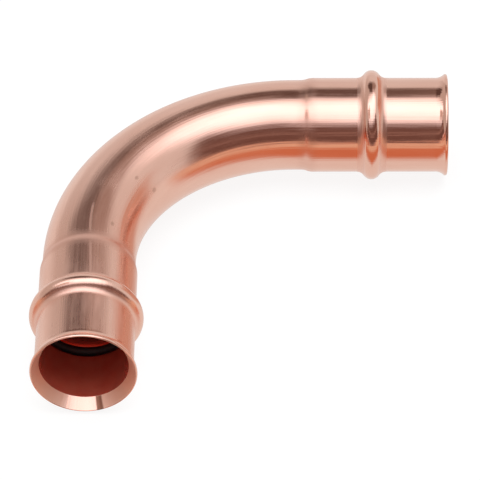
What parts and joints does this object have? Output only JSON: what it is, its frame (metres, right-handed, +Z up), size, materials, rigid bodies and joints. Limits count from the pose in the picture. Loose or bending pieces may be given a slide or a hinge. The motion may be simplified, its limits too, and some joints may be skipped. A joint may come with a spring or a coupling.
{
  "type": "press-fit pipe elbow",
  "caption": "Long-radius right-angle copper pipe elbow with a flared, beaded press socket on each end and a rubber seal ring held in each bead.",
  "frame": {"origin": "on the axis of socket A, at the step where the tube's end stops", "axes": "+X out of the mouth of socket A, -Y out of the mouth of socket B, +Z up, square to the plane of the bend"},
  "size_m": [0.0766, 0.0766, 0.0206],
  "materials": {
    "copper": "polished",
    "seal_rubber": "satin"
  },
  "bodies": {
    "root": {"elbow_body": "copper", "o_ring_a": "seal_rubber", "o_ring_b": "seal_rubber"}
  },
  "joints": []
}
